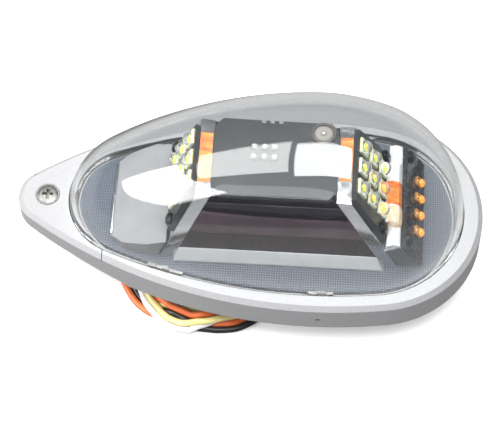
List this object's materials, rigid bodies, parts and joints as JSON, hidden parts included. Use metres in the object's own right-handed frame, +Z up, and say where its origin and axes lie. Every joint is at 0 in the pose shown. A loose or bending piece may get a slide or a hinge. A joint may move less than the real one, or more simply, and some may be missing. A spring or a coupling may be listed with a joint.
{
  "type": "wing-tip navigation and strobe light",
  "caption": "Teardrop wing-tip navigation light: metal base, clear domed lens, sloping LED heads on a central block, tail retainer with one screw, and coiled flying leads.",
  "frame": {"origin": "On the underside mounting face, midway between the tail tip and the nose, on the plane of symmetry.", "axes": "+X runs from the tail tip to the round nose, +Z is up out of the mounting face through the dome, +Y is across."},
  "size_m": [0.145, 0.0704, 0.0698],
  "materials": {
    "satin_aluminium": "satin bead-blasted, clear anodised",
    "core_aluminium": "as machined",
    "polished_aluminium": "polished",
    "stainless": "bright",
    "brass_insert": "as turned",
    "clear_lens": "clear, glossy",
    "black_rubber": "matte",
    "floor_composite": "fine woven texture",
    "black_board": "solder-mask black",
    "dark_board": "dark solder mask",
    "top_led": "clear moulded",
    "bezel_plastic": "satin",
    "window_plastic": "satin",
    "smoked_mirror": "dark mirror",
    "matte_rail": "matte",
    "led_package": "ceramic with phosphor",
    "led_dome": "clear silicone",
    "matte_plate": "matte",
    "amber_led": "amber",
    "bead_resin": "clear resin",
    "amber_tape": "translucent polyimide film",
    "black_screw": "black oxide",
    "green_board": "solder mask",
    "driver_plastic": "moulded",
    "cover_metal": "sheet, matte",
    "lead_orange": "smooth insulation",
    "lead_black": "smooth insulation",
    "lead_yellow": "smooth insulation",
    "lead_white": "smooth insulation",
    "lead_coil": "smooth insulation"
  },
  "bodies": {
    "base": {"base_housing": "satin_aluminium", "thread_insert": "brass_insert", "lens_gasket": "black_rubber", "lens_clips": "stainless", "floor_plate": "floor_composite", "heat_sink": "core_aluminium", "heat_sink_screws": "stainless", "top_board": "black_board", "top_leds": "top_led", "sensor_bezel": "bezel_plastic", "sensor_window": "window_plastic", "reflector_near": "smoked_mirror", "reflector_far": "smoked_mirror", "rail_near": "matte_rail", "rail_far": "matte_rail", "front_frame": "polished_aluminium", "front_board": "black_board", "front_leds": "led_package", "front_domes": "led_dome", "rear_frame": "polished_aluminium", "rear_board": "black_board", "rear_leds": "led_package", "rear_domes": "led_dome", "rear_ramp": "matte_plate", "amber_block": "core_aluminium", "amber_board": "dark_board", "amber_leds": "amber_led", "light_bar": "polished_aluminium", "bar_bead": "bead_resin", "tape_front": "amber_tape", "tape_rear": "amber_tape", "tape_bar": "amber_tape", "board_screws": "black_screw", "amber_screws": "black_screw", "driver_board": "green_board", "driver_parts": "driver_plastic", "bottom_cover": "cover_metal", "cover_screws": "stainless", "wire_gland": "black_rubber", "lead_orange": "lead_orange", "lead_black": "lead_black", "lead_yellow": "lead_yellow", "lead_white": "lead_white", "lead_coil": "lead_coil"},
    "lens": {"lens": "clear_lens"},
    "retainer": {"tail_retainer": "satin_aluminium"},
    "screw_seat": {"cup_washer": "stainless"},
    "screw": {"retainer_screw": "stainless"}
  },
  "joints": [
    {"name": "retainer_lift", "type": "slide", "parent": "base", "child": "retainer", "axis": [0, 0, 1], "range_m": [0, 0.06]},
    {"name": "lens_lift", "type": "slide", "parent": "base", "child": "lens", "axis": [0, 0, 1], "range_m": [0, 0.054]},
    {"name": "screw_lift", "type": "slide", "parent": "retainer", "child": "screw_seat", "axis": [0, 0, 1], "range_m": [0, 0.0119]},
    {"name": "screw_turn", "type": "hinge", "parent": "screw_seat", "child": "screw", "pos_m": [-0.0632, 0, 0.012], "axis": [0, 0, 1], "range_deg": [0, 6120]}
  ],
  "couplings": [
    {"joint": "lens_lift", "follows": "retainer_lift", "ratio": 0.9},
    {"joint": "screw_turn", "follows": "screw_lift", "rad_per_m": 8975.9}
  ]
}
